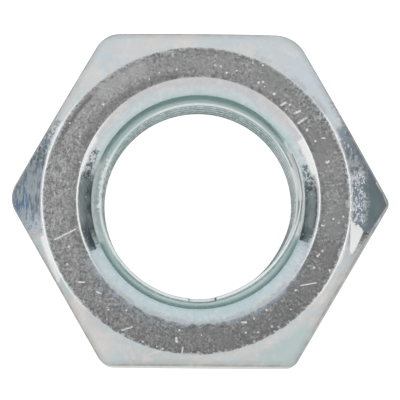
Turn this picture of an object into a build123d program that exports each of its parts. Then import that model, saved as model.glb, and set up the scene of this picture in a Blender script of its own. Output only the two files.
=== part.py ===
"""A hexagon nut with a coarse right-hand screw thread, as one solid.

The nut lies on one of its two bearing faces. The bore runs along Z, the flats at
the front and back face -Y and +Y, and two of the corners point along -X and +X.
The origin is on the bore's axis, in the plane of the lower bearing face.
Lengths are in millimetres and angles in degrees.
"""

from build123d import *
from build123d.topology import SkipClean
from math import ceil, cos, radians, tan
import os

# Blank
across_flats = 30.0
nut_height = 16.0
corner_radius = 1.2
soft_corner_radius = 2.5
soft_corner_angle = 120.0

# Bearing faces, one at each end
bearing_diameter = 27.8
chamfer_angle = 30.0
bearing_edge_break = 0.16

# Mouths of the bore, one at each end
mouth_diameter = 22.2
countersink_angle = 120.0
mouth_edge_break = 0.14

# Thread
thread_diameter = 20.0
thread_pitch = 2.5
flank_angle = 60.0
crest_share = 0.25
root_share = 0.125
thread_start_angle = 50.0

# Lengths that follow from the ones above
corner_reach = across_flats / 2 / cos(radians(30))
crest_flat = thread_pitch * crest_share
root_flat = thread_pitch * root_share
flank_slope = tan(radians(flank_angle / 2))
thread_depth = (thread_pitch - crest_flat - root_flat) / 2 / flank_slope
crest_radius = thread_diameter / 2 - thread_depth

# The pilot bore leaves this much, which is cut in sectors so that each crest is in short faces
finishing_cut = thread_depth / 8
crest_sectors = 6


def turned_profile():
    """Half of the nut's turned section, from the pilot bore out past the corners."""
    pilot_radius = crest_radius - finishing_cut
    mouth_radius = mouth_diameter / 2
    bearing_radius = bearing_diameter / 2
    rim_radius = corner_reach + bearing_edge_break
    sink_depth = (mouth_radius - pilot_radius) / tan(radians(countersink_angle / 2))
    cone_drop = (rim_radius - bearing_radius) * tan(radians(chamfer_angle))
    with BuildSketch(Plane.XZ) as profile:
        with BuildLine():
            Polyline(
                (pilot_radius, sink_depth),
                (mouth_radius, 0),
                (bearing_radius, 0),
                (rim_radius, cone_drop),
                (rim_radius, nut_height - cone_drop),
                (bearing_radius, nut_height),
                (mouth_radius, nut_height),
                (pilot_radius, nut_height - sink_depth),
                close=True,
            )
        make_face()
        chamfer(profile.vertices().group_by(Axis.X)[-2], length=bearing_edge_break)
        chamfer(profile.vertices().group_by(Axis.X)[1], length=mouth_edge_break)
    return profile.sketch


def outline():
    """The nut seen from above, a hexagon whose corners the forging left softer on one side."""
    softest_corner = Vector(corner_reach, 0).rotate(Axis.Z, soft_corner_angle)
    with BuildSketch() as hexagon:
        RegularPolygon(radius=corner_reach, side_count=6)
        fillet(hexagon.vertices().sort_by_distance(softest_corner)[3:], radius=corner_radius)
        fillet(hexagon.vertices().sort_by_distance(softest_corner)[:3], radius=soft_corner_radius)
    return hexagon.sketch


def groove_turn():
    """One turn of the thread's groove, rising right-handed from the +X side."""
    root_radius = thread_diameter / 2
    inner_radius = crest_radius - 2 * finishing_cut
    half_opening = root_flat / 2 + (root_radius - inner_radius) * flank_slope
    with BuildPart() as turn:
        with BuildLine():
            Helix(pitch=thread_pitch, height=thread_pitch, radius=crest_radius)
        with BuildSketch(Plane.XZ):
            with BuildLine():
                Polyline(
                    (inner_radius, -half_opening),
                    (root_radius, -root_flat / 2),
                    (root_radius, root_flat / 2),
                    (inner_radius, half_opening),
                    close=True,
                )
            make_face()
        sweep(is_frenet=True)
    return turn.part


def main():
    os.makedirs("parts", exist_ok=True)
    blank_section, blank_outline, groove = turned_profile(), outline(), groove_turn()
    on_axis = (Align.NONE, Align.NONE, Align.MIN)
    with BuildPart() as nut:
        add(blank_section)
        revolve(axis=Axis.Z)
        add(blank_outline)
        extrude(amount=nut_height, mode=Mode.INTERSECT)
        for turn in range(ceil(nut_height / thread_pitch)):
            turn_start = nut_height - (turn + 1) * thread_pitch
            with Locations(Location((0, 0, turn_start), (0, 0, thread_start_angle))):
                add(groove, mode=Mode.SUBTRACT)
        with SkipClean(), PolarLocations(0, crest_sectors):
            Cylinder(crest_radius, nut_height, arc_size=360 / crest_sectors, align=on_axis, mode=Mode.SUBTRACT)
    nut.part.label = "nut"
    export_step(nut.part, "parts/nut.step")


main()
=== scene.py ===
import math

import bpy
import numpy as np
from bpy.props import FloatProperty, FloatVectorProperty, IntProperty, PointerProperty
from mathutils import Matrix, Vector


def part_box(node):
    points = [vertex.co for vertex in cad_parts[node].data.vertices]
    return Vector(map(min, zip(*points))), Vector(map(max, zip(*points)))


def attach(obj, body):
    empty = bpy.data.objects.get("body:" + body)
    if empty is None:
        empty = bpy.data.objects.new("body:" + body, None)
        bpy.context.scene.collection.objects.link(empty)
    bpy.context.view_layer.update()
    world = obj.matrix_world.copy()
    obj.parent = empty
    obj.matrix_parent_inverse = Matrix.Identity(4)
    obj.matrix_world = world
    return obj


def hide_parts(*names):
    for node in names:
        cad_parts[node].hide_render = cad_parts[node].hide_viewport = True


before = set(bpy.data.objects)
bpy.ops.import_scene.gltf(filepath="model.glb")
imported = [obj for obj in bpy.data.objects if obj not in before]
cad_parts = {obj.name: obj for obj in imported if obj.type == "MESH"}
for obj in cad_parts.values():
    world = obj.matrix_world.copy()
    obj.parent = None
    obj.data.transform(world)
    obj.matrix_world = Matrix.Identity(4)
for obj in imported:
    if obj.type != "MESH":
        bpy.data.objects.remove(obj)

bl_info = {
    "name": "Threaded nut",
    "version": (1, 0, 0),
    "blender": (4, 5, 0),
    "location": "3D View > Sidebar > Nut",
    "description": "Makes a zinc plated hexagon nut with a coarse thread, lying on a white table",
    "category": "Object",
}

NUT_NAME = "threaded_nut"
PLATED, BEARING, THREAD = "Plated steel", "Bearing face", "Cut thread"
BASE_LOW, BASE_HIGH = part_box("nut")
TURN = 2 * math.pi
MM_PER_METRE = 1000
WHITE = (1, 1, 1, 1)


# Settings

def length(name, description, default):
    return FloatProperty(name=name, description=description, default=default, min=0.0, unit="LENGTH",
                         precision=6)


def lengths(name, description, default, **limits):
    return FloatVectorProperty(name=name, description=description, default=default, size=len(default),
                               unit="LENGTH", precision=6, **limits)


def angle(name, description, degrees):
    return FloatProperty(name=name, description=description, default=math.radians(degrees), subtype="ANGLE")


def share(name, description, default, high):
    return FloatProperty(name=name, description=description, default=default, min=0.0, max=high)


def colour(name, part, default):
    return FloatVectorProperty(name=name, description="Colour of the " + part, default=default, size=3,
                               min=0.0, max=1.0, subtype="COLOR")


def setting_keys(group):
    return [key for key in group.bl_rna.properties.keys() if key not in ("rna_type", "name")]


class NutBlankSettings(bpy.types.PropertyGroup):
    flats: lengths("Flats", "Distance of each flat from the middle, counted from +X",
                   (0.01488, 0.0149995, 0.01500, 0.01492, 0.0149995, 0.01505), min=0.0)
    corners: lengths("Corners", "Rounding of each upright corner, counted from +X",
                     (0.00098, 0.0031, 0.0024, 0.00235, 0.0015, 0.0010), min=0.0)
    height: length("Height", "Distance between the two bearing faces", BASE_HIGH.z - BASE_LOW.z)
    axis_offset: lengths("Axis offset", "How far off the middle the turning was done", (-0.00026, -0.0001))
    bearing_diameter: length("Bearing diameter", "Outer diameter of the flat ring at each end", 0.0277)
    chamfer_angle: angle("Chamfer angle", "Slope of the turned chamfer, from the bearing face", 30.0)
    rims: lengths("Rims", "Rounding where the chamfer meets each flat, counted from +X",
                  (0.0005, 0.0004, 0.0004, 0.0005, 0.0006, 0.0009), min=0.0)
    ring_rounding: length("Ring rounding", "Radius at the bearing ring's two edges", 0.0007)
    columns: IntProperty(name="Columns", description="Faces around the nut", default=336, min=36)
    corner_crowding: share("Corner crowding", "How much closer the columns stand at the corners", 0.72, 0.9)


class NutThreadSettings(bpy.types.PropertyGroup):
    root_diameter: length("Root diameter", "Diameter at the bottom of the groove", 0.01922)
    crest_diameter: length("Crest diameter", "Diameter between the crests at the top face", 0.01760)
    draft: length("Draft", "How much narrower the bore is between the crests at the lower end", 0.00048)
    pitch: length("Pitch", "Height of one turn", 0.0025)
    sink_offset: lengths("Countersink offset", "How far the countersinks are off the turned axis",
                         (0.00019, 0.00004))
    thread_offset: lengths("Thread offset", "How far the thread is off the turned axis", (0.00019, -0.00008))
    thread_lean: lengths("Thread lean", "How much further off the crests are at the top than at the bottom",
                         (0.00009, 0.00009))
    start_angle: angle("Start angle", "Where the groove's middle meets the top face", 50.0)
    first_turn: FloatProperty(name="First turn", default=0.44,
                              description="Turns below the top face where the ridge begins")
    run_in: FloatProperty(name="Run-in", description="Turns over which the ridge grows", default=0.34,
                          min=0.01)
    mouth_diameter: length("Mouth diameter", "Diameter of the countersink at the bearing face", 0.0222)
    mouth_squash: length("Mouth squash", "How much nearer the mouth's edge is at the sharp corners", 0.00011)
    mouth_blend: length("Mouth blend", "Rounding where the countersink runs into the thread", 0.00008)
    sink_angle: angle("Countersink angle", "Angle between the sides of the countersink", 120.0)
    join_diameter: length("Join diameter", "Where the bore's mesh meets the blank's", 0.0206)
    rows_per_turn: IntProperty(name="Rows per turn", description="Faces up one turn", default=32, min=8)
    crest_crowding: share("Crest crowding", "How much closer the rows stand at the crests", 0.6, 0.9)
    notch_angle: angle("Notch angle", "Direction of the notch in the first crest", 274.3)
    notch_spread: angle("Notch spread", "How far round the notch reaches each way", 7.7)
    notch_depth: length("Notch depth", "How deep the notch is cut into the crest", 0.0003)
    swell_angle: angle("Swell angle", "Direction in which the crests stand further in", 316.0)
    swell_spread: angle("Swell spread", "How far round the swell reaches each way", 44.0)
    swell_height: length("Swell height", "How much further in the crests stand there", 0.0002)


class NutFinishSettings(bpy.types.PropertyGroup):
    zinc: colour("Zinc", "clean plating", (0.62, 0.65, 0.665))
    # This colour is painted shade: the plating on the south side, darker than the zinc on the north.
    shaded_zinc: colour("Dull zinc", "plating where it is handled", (0.54, 0.56, 0.56))
    tinted: colour("Tinted zinc", "plating where its film is thicker", (0.52, 0.63, 0.67))
    blue: colour("Blue film", "thickest film, at a corner", (0.15, 0.33, 0.62))
    lilac: colour("Lilac film", "smooth film at one corner", (0.56, 0.64, 0.72))
    slate: colour("Slate film", "wrinkled plating at the other corner", (0.25, 0.315, 0.38))
    # This colour is also painted shade on the thread's flanks and crests, on the side away from the light.
    smoke_and_shade: colour("Smoky film", "smooth plating beyond the wrinkles", (0.27, 0.345, 0.36))
    # This colour is painted darkness: dark reflections in the countersink and where the chamfers' dark
    # reflections end, and shade along the notch in the first crest.
    painted_darkness: colour("Dark film", "darkest plating, in ragged patches", (0.07, 0.105, 0.13))
    cream: colour("Cream film", "plating where its film is thinnest", (0.70, 0.668, 0.65))
    plain: colour("Plain zinc", "plating in the countersink, near its edge", (0.595, 0.58, 0.588))
    # This colour is also painted shade: on the chamfers towards the rim, and a dark line beside the thread's
    # first turn.
    edge: colour("Edge", "line along the rim", (0.30, 0.31, 0.29))
    warm: colour("Warm zinc", "plating down the flats", (0.56, 0.53, 0.50))
    # Bare and rubbed also paint shade across the bearing faces: rubbed on the south-east side, bare on the
    # north-west.
    bare: colour("Bare", "rubbed bearing faces", (0.54, 0.54, 0.54))
    rubbed: colour("Rubbed", "bearing faces where they are rubbed most", (0.345, 0.345, 0.345))
    lapped: colour("Lapped", "smoothest part of the bearing faces", (0.66, 0.66, 0.66))
    pit: colour("Pits", "small pits", (0.20, 0.20, 0.20))
    # This colour also paints highlights: pale bands along edges, pale strips in the countersink and on a
    # chamfer, lit parts of the thread and bright lines beside its first turn.
    frost_and_highlight: colour("Frost", "frosted and scratched spots", (0.95, 0.96, 0.96))
    passivated: colour("Passivated zinc", "plating in the thread, tinted blue-green", (0.46, 0.58, 0.57))
    # This colour is also painted light: the lit sides of the bore's thread, and a painted highlight in the
    # countersink.
    pale: colour("Pale film", "film where the thread is lightest", (0.62, 0.74, 0.74))
    # This colour is painted shade: at the root of the thread, where the countersink runs into it, and on the
    # crests on the lit side; it also gives random darker streaks and mottling.
    groove: colour("Groove", "film at the bottom of the groove", (0.36, 0.51, 0.49))


class NutStageSettings(bpy.types.PropertyGroup):
    camera_distance: length("Camera distance", "From the lens to the top face", 0.55)
    camera_scale: FloatProperty(name="Camera scale", default=11121.0,
                                description="Picture's pixels for each metre at the top face")
    camera_aim: lengths("Camera aim", "Point of the top face in the middle of the picture",
                        (0.000068, -0.000025))
    camera_lean_x: angle("Camera lean across", "How far the camera leans towards -X", 0.227)
    camera_lean_y: angle("Camera lean forward", "How far the camera leans towards -Y", 2.316)
    camera_roll: angle("Camera roll", "How far the picture is turned", -0.476)
    floor_size: length("Floor size", "Length of the floor's sides", 1.6)


# Node trees

class Value:
    """What a node puts out, ready to be added, taken away, multiplied and divided by more nodes."""

    def __init__(self, maker, socket):
        self.maker, self.socket = maker, socket

    def __add__(self, other):
        return self.maker.math("ADD", self, other)

    def __sub__(self, other):
        return self.maker.math("SUBTRACT", self, other)

    def __rsub__(self, other):
        return self.maker.math("SUBTRACT", other, self)

    def __mul__(self, other):
        return self.maker.math("MULTIPLY", self, other)

    def __truediv__(self, other):
        return self.maker.math("DIVIDE", self, other)


class TreeMaker:
    """Adds nodes to one node tree and joins them as they are made."""

    def __init__(self, tree):
        self.tree = tree
        self.count = 0

    def add(self, kind, inputs=None, **settings):
        node = self.tree.nodes.new(kind)
        node.location = (self.count % 12 * 190, -(self.count // 12) * 260)
        self.count += 1
        for key, value in settings.items():
            setattr(node, key, value)
        for key, value in (inputs or {}).items():
            self.feed(node.inputs[key], value)
        return node

    def feed(self, socket, value):
        if isinstance(value, Value):
            self.tree.links.new(value.socket, socket)
        else:
            socket.default_value = value

    def get(self, kind, inputs=None, output=0, **settings):
        """A new node's output."""
        return Value(self, self.add(kind, inputs, **settings).outputs[output])

    def each(self, kind, inputs=None):
        """All of a new node's outputs, by name."""
        return {socket.name: Value(self, socket) for socket in self.add(kind, inputs).outputs}

    def math(self, operation, *values, clamp=False):
        return self.get("ShaderNodeMath", dict(enumerate(values)), operation=operation, use_clamp=clamp)

    def most(self, first, *others):
        for other in others:
            first = self.math("MAXIMUM", first, other)
        return first

    def hypotenuse(self, x, y, more=None):
        squares = x * x + y * y
        return self.math("SQRT", squares if more is None else squares + more)

    def vector(self, operation, first, second=None):
        """What an operation makes of one vector, of two, or of a vector and a number."""
        inputs = {0: first}
        if second is not None:
            inputs["Scale" if operation == "SCALE" else 1] = second
        output = "Value" if operation in ("DOT_PRODUCT", "LENGTH") else "Vector"
        return self.get("ShaderNodeVectorMath", inputs, output, operation=operation)

    def ramp(self, value, low, high, low_out=0.0, high_out=1.0, smooth=True):
        """Goes from low_out to high_out as the value goes from low to high."""
        inputs = {"Value": value, "From Min": low, "From Max": high, "To Min": low_out, "To Max": high_out}
        return self.get("ShaderNodeMapRange", inputs, interpolation_type="SMOOTHSTEP" if smooth else "LINEAR")

    def blend(self, factor, under, over):
        """Colour that goes from under to over as the factor rises."""
        under, over = (tone if isinstance(tone, Value) else (*tone, 1.0) for tone in (under, over))
        return self.get("ShaderNodeMix", {0: factor, 6: under, 7: over}, 2, data_type="RGBA",
                        clamp_factor=True)

    def effect(self, group, inputs):
        """One of the shared shader groups with these values."""
        return self.get("ShaderNodeGroup", inputs, node_tree=bpy.data.node_groups[group])


def emptied(owner):
    """Switches a material's or world's nodes on and gives a maker for its empty tree."""
    owner.use_nodes = True
    owner.node_tree.nodes.clear()
    return TreeMaker(owner.node_tree)


SOCKET_TYPES = {float: "NodeSocketFloat", int: "NodeSocketInt", tuple: "NodeSocketVector",
                bpy.types.Material: "NodeSocketMaterial", type(None): "NodeSocketGeometry"}


def new_group(name, kind, inputs, output):
    """A node group with sockets like these defaults; gives its maker, its inputs and its output."""
    tree = bpy.data.node_groups.new(name, kind)
    for in_out, sockets in (("INPUT", inputs), ("OUTPUT", output)):
        for label, default in sockets.items():
            socket = tree.interface.new_socket(label, in_out=in_out, socket_type=SOCKET_TYPES[type(default)])
            if default is not None:
                socket.default_value = default
    maker = TreeMaker(tree)
    given = maker.each("NodeGroupInput")
    return maker, given, maker.add("NodeGroupOutput").inputs[0]


# Blank

RIM_ATTRIBUTE = "rim"

# Rows up to each bend of the blank's section and round it: mouth, ring's edge, rim, and down the flats
ROW_STEPS = ((3, 4), (6, 4), (8, 6), (6, 0))
RIM_START = sum(sum(steps) for steps in ROW_STEPS[:2]) + ROW_STEPS[2][0]
RIM_STEPS = ROW_STEPS[2][1]

# How far each way from a flat's middle its own rim rounding holds, before it runs over into the next
RIM_SPREAD = 0.35

ARC_POINTS, POINTS_PER_SIDE = 24, 200
LEVEL_WITHIN = 4e-5


def column_angles(blank):
    """Angles of the columns, crowded at the six corners."""
    even = np.arange(blank.columns) * TURN / blank.columns
    return even - blank.corner_crowding / 6 * np.sin(6 * even)


def outline_radius(angles, blank):
    """Distance from the turned axis to the rounded hexagon in each direction."""
    sixth = math.pi / 3
    points = []
    for corner in range(6):
        turns = np.array([(corner - 0.5) * sixth, (corner + 0.5) * sixth])
        normals = np.column_stack([np.cos(turns), np.sin(turns)])
        rounding = blank.corners[corner]
        centre = np.linalg.solve(normals, np.array([blank.flats[corner - 1], blank.flats[corner]]) - rounding)
        arc = np.linspace(turns[0], turns[1], ARC_POINTS)
        points += list(centre + rounding * np.column_stack([np.cos(arc), np.sin(arc)]))
    loop = np.array(points + points[:1])
    along = np.linspace(0, 1, POINTS_PER_SIDE, endpoint=False)[:, None]
    dense = np.concatenate([start + (end - start) * along for start, end in zip(loop, loop[1:])])
    dense -= np.array(blank.axis_offset)
    bearing = np.unwrap(np.arctan2(dense[:, 1], dense[:, 0]))
    return np.interp(angles, bearing, np.hypot(dense[:, 0], dense[:, 1]), period=TURN)


def rounded_path(points, roundings, steps):
    """Runs between the points with each inner corner rounded, as points of (columns, 2)."""
    path = []
    start = points[0]
    for here, after, rounding, (run_steps, turn_steps) in zip(points[1:-1], points[2:], roundings, steps):
        into = here - start
        into /= np.linalg.norm(into, axis=1, keepdims=True)
        away = after - here
        away /= np.linalg.norm(away, axis=1, keepdims=True)
        turn = np.arccos(np.clip((into * away).sum(1), -1, 1))
        cut = (rounding * np.tan(turn / 2))[:, None]
        first, last = here - into * cut, here + away * cut
        path += [start + (first - start) * step / run_steps for step in range(run_steps)]
        for step in range(turn_steps):
            t = step / turn_steps
            path.append((1 - t) ** 2 * first + 2 * t * (1 - t) * here + t * t * last)
        start = last
    run_steps = steps[-1][0]
    path += [start + (points[-1] - start) * step / run_steps for step in range(run_steps)]
    return path


def rim_places(rows):
    """For each point how far round the rim it is, from 0 to 1, and below 0 how far from it in millimetres."""
    places = []
    for number, row in enumerate(rows):
        if number < RIM_START:
            places.append(MM_PER_METRE * (row[:, 0] - rows[RIM_START][:, 0]))
        else:
            places.append(np.full(len(row), min((number - RIM_START) / RIM_STEPS, 1.0)))
    return places


def blank_rows(blank, thread):
    """Rows of points from the bore's join at the top, over the outside, to the join at the bottom."""
    angles = column_angles(blank)
    across, ahead = np.cos(angles), np.sin(angles)
    reach = outline_radius(angles, blank)
    top = blank.height
    slope = math.tan(math.pi / 2 - thread.sink_angle / 2)
    east, north = thread.sink_offset
    aside = east * across + north * ahead - thread.mouth_squash * across ** 2
    mouth, join, ring = thread.mouth_diameter / 2, thread.join_diameter / 2, blank.bearing_diameter / 2
    drop = (reach - ring) * math.tan(blank.chamfer_angle)

    def around(radius, height):
        return np.column_stack([np.broadcast_to(radius, angles.shape), np.broadcast_to(height, angles.shape)])

    points = [around(join + aside, top - (mouth - join) * slope), around(mouth + aside, top),
              around(ring, top), around(reach, top - drop), around(reach, top / 2)]
    flats = np.arange(6)[:, None] * math.pi / 3 + math.pi / 6 + np.array([-RIM_SPREAD, RIM_SPREAD])
    rim = np.interp(angles, flats.ravel(), np.repeat(blank.rims, 2), period=TURN)
    upper = rounded_path(points, [blank.ring_rounding, blank.ring_rounding, rim], ROW_STEPS)
    upper.append(points[-1])
    lower = [np.column_stack([row[:, 0], top - row[:, 1]]) for row in reversed(upper[:-1])]
    east, north = blank.axis_offset
    rows = [np.column_stack([row[:, 0] * across + east, row[:, 0] * ahead + north, row[:, 1]])
            for row in upper + lower]
    rims = rim_places(upper)
    return rows, rims + rims[-2::-1]


def make_blank(blank, thread):
    rows, rims = blank_rows(blank, thread)
    count = len(rows[0])
    faces, finishes = [], []
    for low, (here, after) in enumerate(zip(rows, rows[1:])):
        level = abs(abs(here[:, 2] + after[:, 2] - blank.height) - blank.height).max() < LEVEL_WITHIN
        for column in range(count):
            beside = (column + 1) % count
            faces.append((low * count + column, (low + 1) * count + column,
                          (low + 1) * count + beside, low * count + beside))
            finishes.append(1 if level else 0)
    mesh = bpy.data.meshes.new(NUT_NAME)
    mesh.from_pydata(np.concatenate(rows).tolist(), [], faces)
    mesh.polygons.foreach_set("material_index", finishes)
    mesh.polygons.foreach_set("use_smooth", [True] * len(faces))
    rim = mesh.attributes.new(RIM_ATTRIBUTE, "FLOAT", "POINT")
    rim.data.foreach_set("value", np.concatenate(rims))
    mesh.update()
    return mesh


class NUT_OT_forge_blank(bpy.types.Operator):
    """Makes the outside of the nut, open where the bore will be"""
    bl_idname = "nut.forge_blank"
    bl_label = "Forge Blank"

    def execute(self, context):
        scene = context.scene
        blank = bpy.data.objects.new(NUT_NAME, make_blank(scene.nut_blank, scene.nut_thread))
        context.collection.objects.link(blank)
        for name in (PLATED, BEARING):
            blank.data.materials.append(bpy.data.materials[name])
        return {"FINISHED"}


# Thread

# Height of the ridge between the middle of the groove (0) and the middle of the crest (1)
RIDGE_PROFILE = ((0.0, 0.0), (0.15, 0.0), (0.32, 0.04), (0.46, 0.15), (0.60, 0.32), (0.72, 0.53),
                 (0.82, 0.78), (0.85, 0.90), (0.88, 0.975), (0.92, 1.0), (1.0, 1.0))
RIDGE_ATTRIBUTE, THREADED_ATTRIBUTE = "ridge", "threaded"

# Level rows of the bore's mesh at each end: down the countersink, and a few just past it, this close
SINK_ROWS, CLOSE_ROWS, CLOSE_STEP = 6.0, 3.0, 0.00003
EDGE_ROWS = SINK_ROWS + CLOSE_ROWS

# Turns below the top face between which the first crest ends, and so does its notch
FIRST_CREST_END = (1.8, 1.7)
WELD_WITHIN = 1e-6


def bore_values(blank, thread):
    """What the bore's node tree takes, by name: settings of the thread and the blank, and the finishes."""
    values = {"Blank": None, "Countersink finish": bpy.data.materials[PLATED],
              "Thread finish": bpy.data.materials[THREAD]}
    shared = ("height", "axis_offset", "columns", "corner_crowding")
    for group, keys in ((thread, setting_keys(thread)), (blank, shared)):
        for key in keys:
            value = getattr(group, key)
            label = group.bl_rna.properties[key].name
            values[label] = value if isinstance(value, (int, float)) else (*value, 0.0)
    return values


def draw_curve(node, points):
    """Gives a float curve node these points, joined smoothly."""
    curve = node.mapping.curves[0]
    for point, (x, y) in zip(curve.points, (points[0], points[-1])):
        point.location = (x, y)
    for x, y in points[1:-1]:
        curve.points.new(x, y)
    node.mapping.update()


def thread_tree(values):
    """Geometry nodes that add the threaded bore to the blank's open shell."""
    t, given, result = new_group("Threaded bore", "GeometryNodeTree", values, {"Nut": None})
    pitch, height, columns = given["Pitch"], given["Height"], given["Columns"]
    per_turn = given["Rows per turn"]
    row_height = pitch / per_turn
    rows_below = t.math("CEIL", (height + pitch + pitch) / row_height) + EDGE_ROWS
    rows = rows_below + per_turn + EDGE_ROWS
    grid = t.get("GeometryNodeMeshGrid", {"Size X": columns, "Size Y": rows, "Vertices X": columns + 1.0,
                                          "Vertices Y": rows + 1.0}, "Mesh")
    x, y, _ = t.each("ShaderNodeSeparateXYZ", {0: t.get("GeometryNodeInputPosition")}).values()
    column, row = x + columns * 0.5, y + rows * 0.5

    # angle round the axis, crowded at the corners as on the blank
    even = column * TURN / columns
    around = even - given["Corner crowding"] * (1 / 6) * t.math("SINE", even * 6.0)
    turned = (around - given["Start angle"]) * (1 / TURN)

    # how far out the groove's root is in this direction
    across = t.math("COSINE", around)
    heading = t.get("ShaderNodeCombineXYZ", {0: across, 1: t.math("SINE", around)})
    offset, lean, sink_offset = (t.vector("DOT_PRODUCT", heading, given[name])
                                 for name in ("Thread offset", "Thread lean", "Countersink offset"))
    root = given["Root diameter"] * 0.5 + offset

    # where the countersink starts on the join and where it meets the root, from either end
    sink_slope = t.math("TANGENT", given["Countersink angle"] * 0.5)
    join, mouth = given["Join diameter"] * 0.5, given["Mouth diameter"] * 0.5
    lowest = (mouth - join) / sink_slope
    mouth = mouth + sink_offset - given["Mouth squash"] * across * across
    sink_start = (mouth - root) / sink_slope
    sink_end = height - sink_start

    # height: level rows at both ends, and rows between them that follow the helix, crowded at the crests
    def level_rows(number, edge, inner, step):
        down = t.ramp(number, 0.0, SINK_ROWS, edge, inner, smooth=False)
        return down + t.most(number - SINK_ROWS, 0.0) * step

    from_top = rows - row
    upper_z = level_rows(from_top, height - lowest, sink_end, -CLOSE_STEP)
    lower_z = level_rows(row, lowest, sink_start, CLOSE_STEP)
    steps = row - rows_below
    bunched = pitch * given["Crest crowding"] * (1 / TURN) * t.math("SINE", steps / per_turn * TURN)
    up = height + turned * pitch + (steps * row_height + bunched)
    past = CLOSE_ROWS * CLOSE_STEP
    z = t.math("MINIMUM", t.most(up, sink_start + past), sink_end - past)
    z = (z + t.math("LESS_THAN", from_top, EDGE_ROWS - 0.5) * (upper_z - z)
         + t.math("LESS_THAN", row, EDGE_ROWS - 0.5) * (lower_z - z))

    # the ridge: how far this point is from the groove's middle, and how far down the helix
    turns = (z - height) / pitch - turned
    curve = t.add("ShaderNodeFloatCurve", {"Value": t.math("ABSOLUTE", turns - t.math("ROUND", turns)) * 2.0})
    draw_curve(curve, RIDGE_PROFILE)
    profile = Value(t, curve.outputs[0])
    ridge_turn = (t.math("FLOOR", turns) + 0.5 + turned) * -1.0
    grown = t.ramp(ridge_turn, given["First turn"], given["First turn"] + given["Run-in"])
    share_up = z / height
    draft = given["Draft"] * 0.5 * (1.0 - share_up)
    off_swell = t.math("ABSOLUTE", around - given["Swell angle"])
    swell = t.ramp(off_swell, given["Swell spread"], given["Swell spread"] * 0.3) * given["Swell height"]
    crest = given["Crest diameter"] * 0.5 + offset + lean * share_up - draft - swell
    cut = root - (root - crest) * (profile * grown)

    # the notch in the first crest
    aside = t.math("ABSOLUTE", around - given["Notch angle"])
    notch = t.ramp(aside, given["Notch spread"], given["Notch spread"] * 0.85)
    notch = notch * t.ramp(ridge_turn, *FIRST_CREST_END) * given["Notch depth"]
    cut = t.most(cut, crest + notch)

    # the countersinks at both ends
    over, under = mouth - (height - z) * sink_slope, mouth - z * sink_slope
    radius = t.math("SMOOTH_MAX", cut, t.most(over, under), given["Mouth blend"])
    level_point = t.vector("ADD", t.vector("SCALE", heading, radius), given["Axis offset"])
    point = t.vector("ADD", level_point, t.get("ShaderNodeCombineXYZ", {2: z}))
    in_thread = t.math("LESS_THAN", z, sink_end) * t.math("GREATER_THAN", z, sink_start)

    # the bore's mesh, welded to the blank
    bore = t.get("GeometryNodeStoreNamedAttribute", {
        "Geometry": grid, "Name": RIDGE_ATTRIBUTE, "Value": profile * t.ramp(grown, 0.0, 0.1)},
        data_type="FLOAT", domain="POINT")
    bore = t.get("GeometryNodeStoreNamedAttribute", {
        "Geometry": bore, "Name": THREADED_ATTRIBUTE, "Value": in_thread}, data_type="BOOLEAN", domain="FACE")
    bore = t.get("GeometryNodeSetMaterial", {"Geometry": bore, "Material": given["Countersink finish"]})
    bore = t.get("GeometryNodeSetPosition", {"Geometry": bore, "Position": point})
    bore = t.get("GeometryNodeFlipFaces", {"Mesh": bore})
    bore = t.get("GeometryNodeSetShadeSmooth", {"Geometry": bore, "Shade Smooth": True})
    both = t.add("GeometryNodeJoinGeometry")
    for shell in (bore, given["Blank"]):
        t.feed(both.inputs[0], shell)
    welded = t.get("GeometryNodeMergeByDistance", {"Geometry": Value(t, both.outputs[0]),
                                                   "Distance": WELD_WITHIN})
    whole = t.get("GeometryNodeRealizeInstances", {"Geometry": welded})
    threaded = t.get("GeometryNodeInputNamedAttribute", {"Name": THREADED_ATTRIBUTE}, data_type="BOOLEAN")
    t.feed(result, t.get("GeometryNodeSetMaterial", {"Geometry": whole, "Selection": threaded,
                                                     "Material": given["Thread finish"]}))
    return t.tree


def count_open_edges(mesh):
    """Edges that don't have exactly two faces."""
    used = np.empty(len(mesh.loops), dtype=np.int32)
    mesh.loops.foreach_get("edge_index", used)
    return int((np.bincount(used, minlength=len(mesh.edges)) != 2).sum())


class NUT_OT_cut_thread(bpy.types.Operator):
    """Adds the threaded bore to the blank and welds the two into one closed piece"""
    bl_idname = "nut.cut_thread"
    bl_label = "Cut Thread"

    def execute(self, context):
        nut = bpy.data.objects[NUT_NAME]
        values = bore_values(context.scene.nut_blank, context.scene.nut_thread)
        modifier = nut.modifiers.new("Threaded bore", "NODES")
        modifier.node_group = thread_tree(values)
        for socket in modifier.node_group.interface.items_tree:
            if values.get(socket.name) is not None:
                modifier[socket.identifier] = values[socket.name]
        graph = context.evaluated_depsgraph_get()
        mesh = bpy.data.meshes.new_from_object(nut.evaluated_get(graph), preserve_all_data_layers=True,
                                               depsgraph=graph)
        nut.modifiers.clear()
        nut.data = mesh
        loose = count_open_edges(mesh)
        if loose:
            raise RuntimeError(f"the nut's mesh has {loose} open edges")
        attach(nut, "root")
        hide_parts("nut")
        return {"FINISHED"}


# Effects that the finishes share

NOWHERE = (0.0, 0.0, 0.0)


def make_mottle():
    """Soft uneven patches between 0 and 1."""
    inputs = {"Vector": NOWHERE, "Size": 1.0, "Contrast": 1.5, "Detail": 3.0, "Distortion": 0.0}
    t, given, result = new_group("Mottle", "ShaderNodeTree", inputs, {"Value": 0.0})
    scale = t.math("DIVIDE", 1.0, given["Size"])
    noise = t.get("ShaderNodeTexNoise", {"Vector": given["Vector"], "Scale": scale, "Detail": given["Detail"],
                                         "Roughness": 0.6, "Distortion": given["Distortion"]})
    t.feed(result, t.math("ADD", (noise - 0.5) * given["Contrast"] * 2.0, 0.5, clamp=True))


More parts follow.
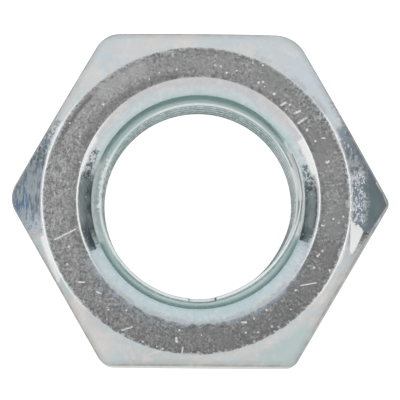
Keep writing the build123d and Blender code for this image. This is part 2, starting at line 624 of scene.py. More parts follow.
def make_patch():
    """A part of a ring round the axis, with soft or ragged borders; angles in radians."""
    inputs = {"Vector": NOWHERE, "Middle": 0.0, "Half Width": 0.5, "Inner": 0.0, "Outer": 30.0,
              "Softness": 0.2, "Raggedness": 0.0}
    t, given, result = new_group("Ring Patch", "ShaderNodeTree", inputs, {"Mask": 0.0})
    x, y, _ = t.each("ShaderNodeSeparateXYZ", {0: given["Vector"]}).values()
    noise = t.get("ShaderNodeTexNoise", {"Vector": given["Vector"], "Scale": 2.5, "Detail": 4.0,
                                         "Roughness": 0.7}, 1)
    shift_out, shift_round, _ = t.each("ShaderNodeSeparateXYZ", {0: noise}).values()
    across = t.hypotenuse(x, y)
    radius = across + (shift_out - 0.5) * given["Raggedness"]
    off = t.math("WRAP", t.math("ARCTAN2", y, x) - given["Middle"], math.pi, -math.pi)
    beside = (t.math("ABSOLUTE", off) - given["Half Width"]) * across
    beside = beside + (shift_round - 0.5) * given["Raggedness"]
    soft = given["Softness"]
    inside = t.ramp(beside, soft, soft * -1.0)
    beyond = t.ramp(radius - given["Inner"], soft * -1.0, soft)
    within = t.ramp(radius - given["Outer"], soft, soft * -1.0)
    t.feed(result, inside * beyond * within)


def make_mark():
    """A short scratch or nick between two points."""
    inputs = {"Vector": NOWHERE, "Start": NOWHERE, "End": NOWHERE, "Width": 0.1, "Taper": 0.0}
    t, given, result = new_group("Mark", "ShaderNodeTree", inputs, {"Mask": 0.0})
    along = t.vector("SUBTRACT", given["End"], given["Start"])
    here = t.vector("SUBTRACT", given["Vector"], given["Start"])
    squared = t.most(t.vector("DOT_PRODUCT", along, along), 1e-6)
    share_along = t.math("DIVIDE", t.vector("DOT_PRODUCT", here, along), squared, clamp=True)
    gap = t.vector("LENGTH", t.vector("SUBTRACT", here, t.vector("SCALE", along, share_along)))
    width = given["Width"] * (1.0 - given["Taper"] * share_along)
    t.feed(result, t.ramp(gap, width, width * 0.3))


def make_glints():
    """Scattered small bright spots, in a share of the cells of a cell pattern."""
    inputs = {"Vector": NOWHERE, "Spacing": 1.0, "Size": 0.1, "Share": 0.4}
    t, given, result = new_group("Glints", "ShaderNodeTree", inputs, {"Mask": 0.0})
    scale = t.math("DIVIDE", 1.0, given["Spacing"])
    cells = t.each("ShaderNodeTexVoronoi", {"Vector": given["Vector"], "Randomness": 1.0, "Scale": scale})
    lot, lot_size, _ = t.each("ShaderNodeSeparateColor", {0: cells["Color"]}).values()
    size = given["Size"] * (lot_size + 0.5)
    spot = t.ramp(cells["Distance"] * given["Spacing"], size, size * 0.4)
    t.feed(result, spot * t.math("LESS_THAN", lot, given["Share"]))


# Finishes

BUMP_DEPTH = 0.00003


class Finish(TreeMaker):
    """A metal that is built up in layers; places are in millimetres from the turned axis."""

    def __init__(self, name, axis_offset, edge_tint=(1, 1, 1)):
        super().__init__(emptied(bpy.data.materials.new(name)).tree)
        self.shader = self.add("ShaderNodeBsdfPrincipled", {"Specular IOR Level": 0.2,
                                                            "Specular Tint": (*edge_tint, 1)})
        output = self.add("ShaderNodeOutputMaterial", {"Surface": Value(self, self.shader.outputs[0])})
        output.is_active_output = True
        self.here = self.get("ShaderNodeMapping", {"Vector": self.get("ShaderNodeTexCoord", None, "Object"),
                                                   "Scale": (MM_PER_METRE,) * 3})
        east, north = (-MM_PER_METRE * shift for shift in axis_offset)
        self.place = self.get("ShaderNodeMapping", {"Vector": self.here, "Location": (east, north, 0)})
        self.x, self.y, self.z = self.each("ShaderNodeSeparateXYZ", {0: self.place}).values()
        self.radius = self.hypotenuse(self.x, self.y)

    def flattened(self, x=0, y=0):
        """The place in the part, seen from above and shifted."""
        return self.get("ShaderNodeMapping", {"Vector": self.here, "Location": (x, y, 0), "Scale": (1, 1, 0)})

    def from_axis(self, x, y):
        """Distance from the upright line through x and y of the part."""
        return self.vector("LENGTH", self.flattened(-x, -y))

    def moved(self, x, y, z, sx=1.0, sy=1.0, sz=1.0):
        """The place shifted and stretched, so that patterns don't repeat each other."""
        return self.get("ShaderNodeMapping", {"Vector": self.place, "Location": (x, y, z),
                                              "Scale": (sx, sy, sz)})

    def mottle(self, size, contrast=1.5, detail=3.0, distortion=0.0, vector=None):
        return self.effect("Mottle", {"Vector": vector or self.place, "Size": size, "Contrast": contrast,
                                      "Detail": detail, "Distortion": distortion})

    def patch(self, middle, half_width, inner, outer, softness, raggedness=0.0):
        """Middle and half width in degrees, the rest in millimetres."""
        return self.effect("Ring Patch", {
            "Vector": self.place, "Middle": math.radians(middle), "Half Width": math.radians(half_width),
            "Inner": inner, "Outer": outer, "Softness": softness, "Raggedness": raggedness})

    def patches(self, *rows):
        """Several patches as one mask; a number after a row's sixth is how strong that patch is."""
        return self.most(*(self.patch(*row[:6]) * row[6] if row[6:] else self.patch(*row) for row in rows))

    def glints(self, spacing, size, share_of_cells, vector=None):
        return self.effect("Glints", {"Vector": vector or self.place, "Spacing": spacing, "Size": size,
                                      "Share": share_of_cells})

    def mark(self, start, end, width, taper=0.0):
        """A mark between two places of the part, which aren't counted from the turned axis."""
        return self.effect("Mark", {"Vector": self.here, "Start": start, "End": end, "Width": width,
                                    "Taper": taper})

    def upright_marks(self, points, width):
        """Marks from point to point, which go straight down through the part."""
        flat = self.flattened()
        return self.most(*(self.effect("Mark", {"Vector": flat, "Start": (*start, 0), "End": (*end, 0),
                                                "Width": width}) for start, end in zip(points, points[1:])))

    def start(self, factor, under, over):
        self.tone = self.blend(factor, under, over)

    def lay(self, over, factor):
        """Lays a colour over the tone so far."""
        self.tone = self.blend(factor, self.tone, over)

    def done(self, roughness, metallic, height):
        bump = self.get("ShaderNodeBump", {"Height": height, "Distance": BUMP_DEPTH, "Strength": 1.0})
        for name, value in (("Base Color", self.tone), ("Roughness", roughness), ("Metallic", metallic),
                            ("Normal", bump)):
            self.feed(self.shader.inputs[name], value)


# Axes of the mouth's edge and of the thread, from the part's middle
MOUTH_AXIS, THREAD_AXIS = (-0.07, -0.06), (-0.07, -0.18)


def plate_outside(finish, axis_offset):
    """Plating on the chamfers, flats and countersinks: pale, clouded, tinted and wrinkled in places, with
    painted shade, painted dark reflections and painted highlights.
    """
    f = Finish(PLATED, axis_offset, (0.72, 0.68, 0.64))
    clouds, small, fine = f.mottle(3.2), f.mottle(1.1, vector=f.moved(7, 3, 1)), f.mottle(0.28, 1.2)
    in_sink = f.ramp(f.radius, 11.3, 11.1)
    # painted shade: the plating goes from the shaded zinc on the south side to zinc on the north, but stays
    # near zinc in the countersinks
    north = f.most(f.ramp(f.y, -13.0, 11.0), in_sink * 0.8)
    f.start(north * 0.75 + clouds * 0.25, finish.shaded_zinc, finish.zinc)
    hues = f.mottle(3.0, 1.9, 5.0, 0.8, f.moved(-4, 9, 2))
    f.lay(finish.tinted, f.ramp(hues, 0.5, 1.0) * 0.5)
    f.lay(finish.cream, f.ramp(hues, 0.5, 0.0) * 0.65)
    f.lay(finish.frost_and_highlight, f.ramp(small, 0.55, 1.0) * 0.12)
    deep, south = f.ramp(f.radius, 11.0, 9.9), f.ramp(f.y, 2.0, -8.0)
    f.lay(finish.tinted, in_sink * (south * 0.35 + deep * 0.4 + 0.1))
    # painted shade: dark teal where the countersink runs down into the groove
    f.lay(finish.groove, f.ramp(f.from_axis(*THREAD_AXIS), 10.0, 9.6) * 0.55)
    f.lay(finish.plain, f.ramp(f.radius, 10.15, 10.75) * in_sink * f.ramp(f.y, -4.0, 4.0) * 0.85)
    brushed = f.mottle(0.5, 1.6, 4.0, 0.0, f.moved(1, 1, 1, 1.0, 1.0, 0.3))
    f.lay(finish.frost_and_highlight, in_sink * f.ramp(brushed, 0.5, 1.0) * 0.14)
    f.lay(finish.groove, in_sink * f.ramp(brushed, 0.4, 0.0) * 0.16)
    f.lay(finish.passivated, f.patch(303, 10, 14.6, 17.2, 0.6, 1.5) * 0.6)
    bluish = f.patches((42, 13, 14.2, 17.2, 0.8, 2.0), (74, 7, 14.6, 17.0, 0.6, 1.5, 0.6),
                       (128, 8, 15.2, 18.0, 0.7, 1.5, 0.7))
    f.lay(finish.lilac, bluish * (small * 0.4 + 0.25))
    warmer = f.patches((232, 10, 14.4, 17.0, 0.7, 1.5), (106, 10, 14.2, 16.0, 0.5, 1.5, 0.7),
                       (300, 32, 14.0, 14.7, 0.4, 1.0, 0.7))
    f.lay(finish.cream, warmer * 0.5)

    # slate, blue and lilac films at the two sharp corners, painted dark reflections beside them in the
    # countersink, and speckled painted dark reflections where these patches end
    streaks = f.mottle(0.24, 2.2, 3.0, 0.2, f.moved(0, 4, 0, 1.0, 0.2))
    east, west = f.patch(9, 18.5, 13.95, 17.6, 0.25, 1.2), f.patch(173.5, 17, 13.95, 17.6, 0.3, 1.2)
    f.lay(finish.slate, east * 0.9)
    f.lay(finish.smoke_and_shade, f.patch(0, 8, 15.25, 17.6, 0.3, 1.3) * 0.78)
    paler = f.patches((11, 3, 14.3, 15.7, 0.4, 1.0), (13, 5, 13.9, 15.3, 0.5, 1.2, 0.9))
    f.lay(finish.frost_and_highlight, paler * f.ramp(f.mottle(0.4, 2.0, 4.0), 0.2, 0.8) * 0.65)
    f.lay(finish.lilac, west * 0.85)
    f.lay(finish.slate, west * f.ramp(streaks, 0.5, 0.15) * 0.75)
    f.lay(finish.pale, west * f.ramp(streaks, 0.62, 0.95) * 0.6)
    f.lay(finish.blue, f.patch(182, 5, 15.2, 17.6, 0.5, 1.6) * f.ramp(streaks, 0.7, 0.3) * 0.7)
    speckled_dark_reflection = f.most(f.patches((30, 7, 15.0, 17.0, 0.3, 1.6), (159, 8, 14.0, 16.0, 0.3, 1.6, 0.75),
                               (12, 7, 9.95, 10.8, 0.15, 0.9), (161, 8, 9.8, 10.4, 0.12, 0.9)),
                     f.mark((9.06, 4.6, 15.4), (9.91, 2.7, 15.3), 0.2))
    # painted dark reflections in the countersink, tinted blue-green, then darkened: darker towards the thread
    # and towards the south, and mottled
    dark = f.patches((188, 18, 9.9, 10.6, 0.07, 0.3), (355, 15, 9.87, 10.75, 0.07, 0.4))
    f.lay(finish.passivated, dark * 0.5)
    f.lay(finish.painted_darkness, speckled_dark_reflection * f.ramp(fine, 0.75, 0.35) * 0.85)
    shade = (f.ramp(f.radius, 10.5, 9.9) * 0.4 + streaks * 0.2 + small * 0.3 + fine * 0.2 - 0.3
             + f.ramp(f.y, -1.6, -3.0, -0.12, 0.55))
    f.lay(finish.painted_darkness, dark * f.math("ADD", 0.05, shade, clamp=True))
    # a painted highlight just inside the west dark reflection
    f.lay(finish.pale, f.patch(185, 13, 9.58, 9.85, 0.08, 0.1) * 0.7)

    # wrinkles with frosted crests, small specks, and painted highlights: pale bands along the edges
    wrinkled = f.patch(1.5, 9, 13.9, 15.4, 0.4, 0.8)
    worms = f.mottle(0.26, 2.2, 1.5, 1.2, f.moved(0, 0, 0, 1.0, 0.7))
    crests = f.ramp(worms, 0.4, 0.95) * wrinkled
    specks = f.most(f.glints(1.2, 0.07, 0.25) * 0.5,
                    f.glints(0.35, 0.07, 0.3, f.moved(2, 7, 1)) * f.most(dark, west) * 0.6)
    # painted highlights: pale strips in the countersink, pale bands along the ring's edge, a pale triangle on
    # a chamfer and a pale streak on another
    clear = f.ramp(f.y + f.x * 0.68 + fine * 0.5, 8.15, 7.95)
    triangle = f.ramp(f.mark((14.4, -1.9, 15.6), (13.8, -5.0, 15.7), 1.3, 0.78), 0.3, 0.6) * clear
    pale = f.most(f.patches((22, 9, 10.55, 11.1, 0.15, 0.3), (157, 9, 10.5, 10.95, 0.15, 0.4),
                            (180, 26, 10.62, 10.8, 0.08, 0.1, 0.55), (357, 20, 10.9, 11.1, 0.08, 0.1, 0.55),
                            (2, 26, 13.8, 14.12, 0.12, 0.25, 0.55), (180, 30, 13.85, 14.1, 0.08, 0.15, 0.7)),
                  triangle, f.mark((-13.9, -3.6, 15.8), (-12.7, -7.3, 15.73), 0.5, 0.2))
    nick = f.most(f.mark((15.99, 1.7, 14.55), (16.65, 0.7, 14.3), 0.13),
                  f.mark((16.65, 0.7, 14.3), (16.97, -0.1, 14.1), 0.15),
                  f.mark((16.95, -0.55, 14.1), (15.5, -2.8, 14.75), 0.2) * 0.6)
    flakes = f.glints(0.32, 0.12, 0.5, f.moved(4, 4, 4, 1.0, 0.6))
    flakes = flakes * f.patch(23, 9, 13.9, 15.3, 0.5, 1.5) * 0.6
    # frosted holds the frosted crests, specks, flakes and the nick, and the painted highlights
    frosted = f.most(crests * 0.8, specks, flakes, pale * 0.95, nick)
    f.lay(finish.frost_and_highlight, frosted)
    f.lay(finish.edge, f.glints(0.8, 0.06, 0.35, f.moved(5, 5, 5)) * f.ramp(clouds, 0.3, 0.8) * 0.45)

    # worn grey along the mouth's edge on one side, and a little along the ring's edge on the other
    ragged = f.from_axis(*MOUTH_AXIS) + fine * 0.4 + small * 0.35
    worn = f.ramp(ragged, 10.95, 11.4) * in_sink * south * 0.45
    worn_ring = f.patch(45, 26, 13.8, 14.3, 0.25, 0.8) * f.ramp(small, 0.3, 0.8) * 0.45
    f.lay(finish.rubbed, f.most(worn, worn_ring))

    # the rim: painted shade on the chamfers towards it, a dark line along it, and warmer plating down the
    # flats
    rim = f.get("ShaderNodeAttribute", None, "Fac", attribute_name=RIM_ATTRIBUTE)
    f.lay(finish.edge, f.ramp(rim, -0.5, 0.0) * (1.0 - in_sink) * (small * 0.25 + 0.1))
    line = f.ramp(rim, 0.05, 0.3) * f.ramp(rim, 0.75, 0.4) * (small * 0.6 + 0.35)
    f.lay(finish.edge, f.most(line, f.mark((15.5, -2.64, 14.78), (13.8, -5.82, 15.23), 0.14) * 0.8,
                              f.mark((15.5, 1.9, 14.8), (16.55, 0.0, 14.25), 0.1) * 0.7))
    flat = f.ramp(rim, 0.5, 0.95)
    rolled = f.mottle(0.5, 1.8, 4.0, 0.3, f.moved(3, 2, 1, 0.35, 0.35, 1.6))
    f.lay(finish.warm, flat * (small * 0.3 + 0.6))
    f.lay(finish.edge, flat * f.ramp(rolled, 0.45, 0.1) * 0.3)
    f.lay(finish.zinc, flat * f.ramp(clouds, 0.5, 1.0) * 0.3)
    f.lay(finish.frost_and_highlight, flat * f.patch(337, 22, 14.0, 18.0, 1.5, 1.0) * 0.8)

    filmed = f.most(f.most(east, west) * 0.5, dark * 0.3, flat * 0.5)
    f.done(small * 0.08 + 0.14 + wrinkled * 0.10, 1.0 - f.most(frosted, filmed),
           fine * 0.12 + worms * wrinkled * 0.5 + small * 0.2 + rolled * flat * 0.5)


# Height of the upper bearing face in millimetres, and the scratches and specks on it: x and y of a
# scratch's two ends, or of a speck, and the width
TOP_FACE = 16
FACE_SCRATCHES = (
    (-12.95, -3.69, -11.12, -2.76, 0.08), (9.19, -7.64, 10.56, -7.39, 0.07),
    (-6.81, -11.78, -5.95, -11.49, 0.08), (-1.35, -13.28, -1.45, -13.79, 0.08),
    (7.33, 8.59, 7.69, 8.82, 0.15), (8.51, 7.84, 9.00, 8.07, 0.13), (8.87, 6.98, 9.59, 7.46, 0.12),
    (11.45, 3.46, 11.60, 3.54, 0.15), (11.02, 5.64, 11.27, 5.64, 0.08),
    (-10.74, -7.49, -10.29, -7.53, 0.10), (-9.12, -8.38, -8.76, -8.51, 0.10),
    (-1.92, -12.77, -1.97, -12.45, 0.14), (11.07, -2.23, 11.24, -2.23, 0.10),
    (10.65, -4.98, 10.81, -4.84, 0.13), (3.93, -11.00, 4.29, -11.00, 0.12),
)
FACE_SPECKS = (
    (3.27, 11.62, 0.14), (2.39, 11.45, 0.14), (1.84, 12.03, 0.12), (1.30, 12.15, 0.11), (5.24, 10.60, 0.15),
    (5.65, 10.65, 0.14), (4.72, 12.38, 0.11), (5.63, 12.16, 0.12), (6.67, 9.58, 0.17), (8.09, 8.62, 0.12),
    (9.63, 6.34, 0.17), (10.41, 5.37, 0.14), (-11.68, -4.32, 0.14), (-11.84, -5.92, 0.14),
    (-8.08, -9.96, 0.12), (-6.47, -10.00, 0.12), (-1.70, -11.74, 0.13), (-3.18, -13.41, 0.12),
    (-4.96, -12.80, 0.12), (12.07, -1.64, 0.12), (12.58, -1.99, 0.12), (12.98, -1.41, 0.12),
    (11.11, -4.52, 0.14), (10.38, -6.02, 0.16), (11.76, -6.24, 0.13), (8.74, -8.07, 0.14),
    (6.11, -9.89, 0.12), (5.03, -10.65, 0.12), (6.63, -11.33, 0.14), (5.38, -11.85, 0.12),
    (4.29, -11.92, 0.12), (-3.68, 11.41, 0.10), (-2.13, 11.71, 0.10), (-4.59, 10.82, 0.10),
    (-8.68, 8.49, 0.12), (-10.80, 5.60, 0.10), (-11.69, 6.80, 0.10),
)
MARK_WIDENING = 1.1


def plate_bearing(finish, axis_offset):
    """The rubbed bearing faces: grey, grained like leather, with bright specks and a few scratches."""
    f = Finish(BEARING, axis_offset)
    clouds = f.mottle(2.6, 2.2, vector=f.moved(2, 5, 0))
    grain, broad = f.mottle(0.22, 1.8, 3.0, 0.6), f.mottle(0.7, 1.6, vector=f.moved(5, 1, 0))
    coarse = 1.0 - f.ramp(clouds, 0.4, 0.75) * f.ramp(f.x, -9.0, 5.0) * 0.75
    # painted shade: the bearing faces go from the rubbed grey on the south-east side to the bare grey on the
    # north-west
    f.start(f.ramp(f.x * -0.7 + f.y * 0.9, -13.0, 14.0), finish.rubbed, finish.bare)
    f.lay(finish.pit, f.ramp(broad, 0.5, 0.1) * coarse * 0.3)
    f.lay(finish.pit, f.ramp(grain, 0.45, 0.0) * coarse * 0.55)
    f.lay(finish.frost_and_highlight, f.ramp(grain, 0.6, 1.0) * coarse * 0.32)
    lap = f.patches((147, 12, 13.2, 13.5, 0.12, 0.4), (125, 28, 11.1, 11.8, 0.3, 0.8, 0.55))
    f.lay(finish.pit, lap * (grain * 0.5 + 0.4))
    f.lay(finish.lapped, f.patch(122, 12, 12.3, 13.8, 0.5, 1.0) * 0.75)
    f.lay(finish.frost_and_highlight, f.patch(2, 18, 11.3, 13.8, 0.8, 1.0) * 0.12)
    f.lay(finish.pit, f.patch(300, 16, 12.4, 13.8, 0.8, 1.0) * 0.2)
    f.lay(finish.pit, f.patch(80, 32, 11.3, 13.8, 0.8, 1.0) * 0.14)

    # darker and pitted along both edges, with the plating still on the very edge in places
    edges = f.most(f.ramp(f.radius, 13.1, 13.7), f.ramp(f.radius, 11.75, 11.3))
    f.lay(finish.pit, edges * f.ramp(broad, 0.35, 0.7) * 0.6)
    ragged = f.radius + broad * 0.45 + grain * 0.35
    left = f.patches((233, 30, 11.0, 11.8, 0.3, 1.4), (305, 28, 11.0, 11.6, 0.25, 1.2),
                     (45, 16, 13.3, 14.0, 0.3, 1.4, 0.8))
    f.lay(finish.tinted, left * f.ramp(grain, 0.2, 0.8) * 0.45)
    mouth = f.from_axis(*MOUTH_AXIS) + broad * 0.75 + grain * 0.8
    torn = f.ramp(mouth, 12.1, 11.8) * f.patch(266, 58, 10.8, 12.4, 0.6, 1.0)
    f.lay(f.blend(f.ramp(grain, 0.3, 1.0) * 0.4, finish.lilac, finish.frost_and_highlight), torn)
    f.lay(finish.zinc, f.most(f.ramp(ragged, 14.08, 14.25),
                              f.mark((13.3, -0.1, TOP_FACE), (13.55, -0.4, TOP_FACE), 0.3)))

    # waves on one side, and bright marks and specks
    waves = f.mottle(0.3, 2.0, 2.0, 1.2, f.moved(3, 1, 0, 1.3, 0.55))
    waved = f.patch(176, 24, 11.6, 13.8, 0.6, 1.5)
    f.lay(finish.pit, waved * f.ramp(waves, 0.45, 0.1) * 0.4)
    f.lay(finish.frost_and_highlight, waved * f.ramp(waves, 0.6, 1.0) * 0.25)
    marks = 0.0
    for x0, y0, x1, y1, width in FACE_SCRATCHES + tuple((x, y, x, y, width) for x, y, width in FACE_SPECKS):
        mark = f.mark((x0, y0, TOP_FACE), (x1, y1, TOP_FACE), MARK_WIDENING * width)
        marks = f.most(mark, marks)
    marks = marks * f.ramp(f.mottle(0.12, 1.5, 2.0), 0.1, 0.5, 0.35, 1.0)
    specks = f.glints(0.5, 0.08, 0.16) * f.ramp(f.mottle(1.8, 2.0, vector=f.moved(1, 8, 4)), 0.3, 0.6)
    scuffs = f.glints(0.7, 0.09, 0.2, f.moved(3, 1, 2, 1.0, 0.45)) * coarse * 0.55
    bright = f.most(marks * 0.85, specks * 0.8, scuffs)
    f.lay(finish.frost_and_highlight, bright)
    f.done(grain * 0.10 + 0.30, 1.0 - bright * 0.85, grain * coarse * 0.15 + bright * 0.3)


# Painted highlights and a painted dark line of shade beside the first turn: points along each, and its width,
# in millimetres
FIRST_TURN_HIGHLIGHTS = (
    (((8.87, 3.33), (9.32, 2.16), (9.54, 1.08), (9.62, 0.09)), 0.24),
    (((7.66, 5.31), (8.20, 4.41), (8.74, 3.51)), 0.12),
    (((8.31, 2.99), (8.76, 2.0), (9.07, 1.1), (9.2, 0.28)), 0.30),
)
FIRST_TURN_SHADE = (
    ((8.33, 4.25), (8.87, 2.98), (9.16, 1.81), (9.29, 0.63), (9.26, -0.54), (9.12, -1.8)), 0.075)

# Direction of the notch's middle, how far it reaches each way, and the half width of its ends, in degrees
NOTCH_WAY, NOTCH_REACH, NOTCH_END = 274.0, 7.7, 0.5


def plate_thread(finish, axis_offset):
    """Plating in the thread: blue-green, with painted shade in the groove and painted highlights along the
    crests.
    """
    f = Finish(THREAD, axis_offset, (0.50, 0.64, 0.61))
    ridge = f.get("ShaderNodeAttribute", None, "Fac", attribute_name=RIDGE_ATTRIBUTE)
    clouds, fine = f.mottle(1.6, 2.0), f.mottle(0.3, 1.8, 3.0, 0.5, f.moved(0, 0, 0, 1, 1, 0.4))
    north_west = f.ramp(f.x * -0.6 + f.y * 0.8, -0.8, 0.8)
    upper = f.ramp(f.z, 11.0, 11.6)
    # painted shade: dark teal at the bottom of the groove, going over to the film up the flanks
    f.start(f.ramp(ridge, 0.08, 0.45), finish.groove, finish.passivated)
    f.lay(finish.tinted, clouds * 0.25)
    # painted light: the lighter sides of the bore, and lit strips where the thread faces the light
    light_side = f.patches((178, 26, 8.9, 9.8, 0.8, 0.8), (8, 31, 8.9, 9.9, 0.6, 0.8),
                           (280, 34, 8.6, 9.3, 0.3, 0.4, 0.9))
    f.lay(finish.pale, light_side * 0.8)
    lit = f.patches((181, 23, 9.15, 9.8, 0.25, 0.3), (5, 24, 8.9, 9.9, 0.25, 0.5))
    f.lay(finish.frost_and_highlight, lit * (fine * 0.4 + 0.5))

    # the crests: on the side that faces the light, painted highlights along the upper edge, stronger higher
    # up, and painted shade on the crest; on the other side painted shade on the flank, a painted bright lip
    # and a painted dark line on the crest
    turns = f.mottle(1.0, 2.5, 2.0, 0.0, f.moved(0, 0, 3, 0.12, 0.12, 0.5))
    crest, other = f.ramp(ridge, 0.965, 0.995), 1.0 - north_west
    shine = turns * 0.4 + fine * 0.15 + upper * 0.35
    f.lay(finish.frost_and_highlight, f.ramp(ridge, 0.62, 0.8) * (1.0 - crest) * north_west * shine)
    f.lay(finish.groove, crest * north_west * (clouds * 0.3 + 0.4 + turns * 0.3))
    shaded = f.ramp(ridge, 0.52, 0.6) * f.ramp(ridge, 0.76, 0.7) * other
    f.lay(finish.smoke_and_shade, shaded * (fine * 0.4 + 0.6))
    f.lay(finish.frost_and_highlight, f.ramp(ridge, 0.73, 0.8) * other * 0.8)
    f.lay(finish.smoke_and_shade, f.ramp(ridge, 0.95, 0.99) * other * 0.8)
    broken = f.mottle(0.24, 2.4, 2.0, 0.4, f.moved(6, 1, 2, 0.8, 0.8, 1.0))
    below = f.ramp(f.z, 11.3, 10.9) * north_west
    f.lay(finish.frost_and_highlight, below * f.ramp(broken, 0.55, 0.9) * 0.45)
    f.lay(finish.groove, below * f.ramp(broken, 0.45, 0.1) * 0.45)

    # painted highlights beside the first turn and on the crests at two sides, and a painted dark line of
    # shade beside it
    painted_highlights = f.most(*(f.upright_marks(*line) for line in FIRST_TURN_HIGHLIGHTS),
                      f.patch(170, 16, 8.3, 8.98, 0.1, 0.4) * f.ramp(fine, 0.45, 0.75),
                      f.patch(356, 8, 8.6, 9.2, 0.15, 0.6) * f.ramp(fine, 0.4, 0.7))
    f.lay(finish.frost_and_highlight, painted_highlights)
    f.lay(finish.edge, f.upright_marks(*FIRST_TURN_SHADE) * 0.8)

    # the notch in the first crest, frosted, with painted shade along its step and ends
    f.lay(finish.frost_and_highlight, f.patch(NOTCH_WAY, NOTCH_REACH, 8.75, 9.06, 0.03) * 0.7)
    outline = f.patches((NOTCH_WAY, NOTCH_REACH + 0.2, 9.06, 9.14, 0.03),
                        (NOTCH_WAY - NOTCH_REACH, NOTCH_END, 8.75, 9.1, 0.03),
                        (NOTCH_WAY + NOTCH_REACH, NOTCH_END, 8.75, 9.1, 0.03))
    f.lay(finish.painted_darkness, outline * f.ramp(fine, 0.2, 0.6, 0.4, 0.85))
    filmed = f.most(light_side * 0.6, lit * 0.8, 0.45)
    f.done(fine * 0.15 + 0.28, 1.0 - f.most(filmed, painted_highlights * 0.85), fine * 0.25 + clouds * 0.15)


class NUT_OT_plate(bpy.types.Operator):
    """Makes the three zinc finishes of the nut"""
    bl_idname = "nut.plate"
    bl_label = "Make Finishes"

    def execute(self, context):
        finish, offset = context.scene.nut_finish, context.scene.nut_blank.axis_offset
        for make in (make_mottle, make_patch, make_mark, make_glints):
            make()
        for plate in (plate_outside, plate_bearing, plate_thread):
            plate(finish, offset)
        return {"FINISHED"}


# Stage

PICTURE_PIXELS = 400
SENSOR_WIDTH = 36.0


def make_floor(stage):
    half = stage.floor_size / 2
    corners = [(-half, -half, 0), (half, -half, 0), (half, half, 0), (-half, half, 0)]
    mesh = bpy.data.meshes.new("floor")
    mesh.from_pydata(corners, [], [(0, 1, 2, 3)])
    material = bpy.data.materials.new("White table")
    t = emptied(material)
    path = t.each("ShaderNodeLightPath")
    mirrored = t.most(path["Is Glossy Ray"], path["Is Transmission Ray"])
    paper = t.get("ShaderNodeBsdfPrincipled", {"Base Color": (0.4, 0.4, 0.4, 1), "Roughness": 0.9})
    glow = t.get("ShaderNodeEmission", {"Color": WHITE,
                                        "Strength": path["Is Camera Ray"] * 0.92 + mirrored * 0.7})
    both = t.get("ShaderNodeAddShader", {0: paper, 1: glow})
    t.add("ShaderNodeOutputMaterial", {"Surface": both})
    floor = bpy.data.objects.new("floor", mesh)
    floor.data.materials.append(material)
    return floor


def make_world():
    """White walls, a grey ceiling round the lens with a lamp at each side, and a dark card at each side."""
    world = bpy.data.worlds.new("Studio")
    t = emptied(world)
    x, y, z = t.each("ShaderNodeSeparateXYZ", {0: t.get("ShaderNodeTexCoord", None, "Generated")}).values()
    ceiling = t.ramp(z, 0.86, 0.985, 0.95, 0.42)
    sideways = t.ramp(t.math("ABSOLUTE", x) / t.hypotenuse(x, y, 0.0001), 0.7, 0.9)
    ceiling = ceiling + t.ramp(z, 0.58, 0.68) * t.ramp(z, 0.88, 0.78) * sideways * 0.6

    def card(toward, low_side, high_side, low=0.15, high=0.78, soft=0.03):
        ahead = t.most(x * toward, 0.001)
        side, rise = y / ahead, z / ahead
        mask = t.ramp(side, low_side - soft, low_side + soft)
        mask = mask * t.ramp(side, high_side + soft, high_side - soft)
        return mask * t.ramp(rise, low - soft, low + soft) * t.ramp(rise, high + soft, high - soft)

    dark = card(1.0, -0.20, 0.46) + card(-1.0, -0.10, 0.40)
    level = ceiling * (1.0 - dark * 0.93)
    seen = t.each("ShaderNodeLightPath")["Is Camera Ray"]
    light = t.get("ShaderNodeMix", {"Factor": seen, "A": level, "B": 1.0}, data_type="FLOAT")
    sky = t.get("ShaderNodeBackground", {"Color": WHITE, "Strength": light})
    t.add("ShaderNodeOutputWorld", {"Surface": sky})
    return world


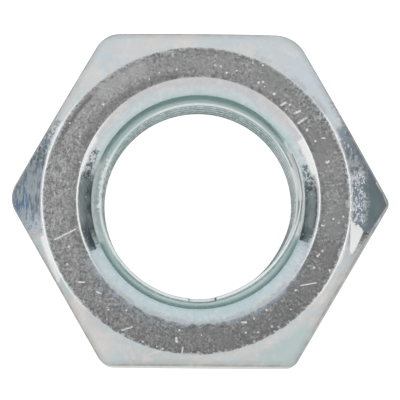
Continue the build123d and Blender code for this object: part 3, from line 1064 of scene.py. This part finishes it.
def make_camera(stage, height):
    """The camera looks down at the nut, leaning a little and turned a little in the picture."""
    target = Vector((*stage.camera_aim, height))
    back = Vector((-math.sin(stage.camera_lean_x), -math.sin(stage.camera_lean_y), 1.0)).normalized()
    across = Vector((0, 1, 0)).cross(back).normalized()
    up = back.cross(across)
    c, s = math.cos(stage.camera_roll), math.sin(stage.camera_roll)
    across, up = across * c - up * s, across * s + up * c
    data = bpy.data.cameras.new("camera")
    data.sensor_width = SENSOR_WIDTH
    data.lens = stage.camera_scale * stage.camera_distance / PICTURE_PIXELS * SENSOR_WIDTH
    data.clip_start, data.clip_end = 0.01, 20.0
    camera = bpy.data.objects.new("camera", data)
    turn = Matrix((across, up, back)).transposed().to_4x4()
    camera.matrix_world = Matrix.Translation(target + back * stage.camera_distance) @ turn
    return camera


class NUT_OT_stage(bpy.types.Operator):
    """Sets the white table, the studio light and the camera"""
    bl_idname = "nut.stage"
    bl_label = "Set Stage"

    def execute(self, context):
        stage, scene = context.scene.nut_stage, context.scene
        floor = make_floor(stage)
        camera = make_camera(stage, scene.nut_blank.height)
        for thing in (floor, camera):
            context.collection.objects.link(thing)
        scene.camera = camera
        scene.world = make_world()
        scene.view_settings.view_transform = "Standard"
        return {"FINISHED"}


# Panel and classes

PANEL_ROWS = (
    ("Finishes", "nut.plate", "nut_finish"),
    ("Blank", "nut.forge_blank", "nut_blank"),
    ("Thread", "nut.cut_thread", "nut_thread"),
    ("Stage", "nut.stage", "nut_stage"),
)


class NUT_PT_panel(bpy.types.Panel):
    bl_idname = "NUT_PT_panel"
    bl_label = "Threaded Nut"
    bl_space_type = "VIEW_3D"
    bl_region_type = "UI"
    bl_category = "Nut"

    def draw(self, context):
        for label, operator, settings in PANEL_ROWS:
            box = self.layout.box()
            box.label(text=label)
            group = getattr(context.scene, settings)
            for key in setting_keys(group):
                box.prop(group, key)
            box.operator(operator)


SETTINGS = {"nut_blank": NutBlankSettings, "nut_thread": NutThreadSettings, "nut_finish": NutFinishSettings,
            "nut_stage": NutStageSettings}
CLASSES = (*SETTINGS.values(), NUT_OT_plate, NUT_OT_forge_blank, NUT_OT_cut_thread, NUT_OT_stage,
           NUT_PT_panel)


def register():
    for cls in CLASSES:
        bpy.utils.register_class(cls)
    for name, settings in SETTINGS.items():
        setattr(bpy.types.Scene, name, PointerProperty(type=settings))


def unregister():
    for name in SETTINGS:
        delattr(bpy.types.Scene, name)
    for cls in reversed(CLASSES):
        bpy.utils.unregister_class(cls)


def main():
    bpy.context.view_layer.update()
    register()
    for _, operator, _ in PANEL_ROWS:
        group, name = operator.split(".")
        getattr(getattr(bpy.ops, group), name)()


if __name__ == "__main__":
    main()
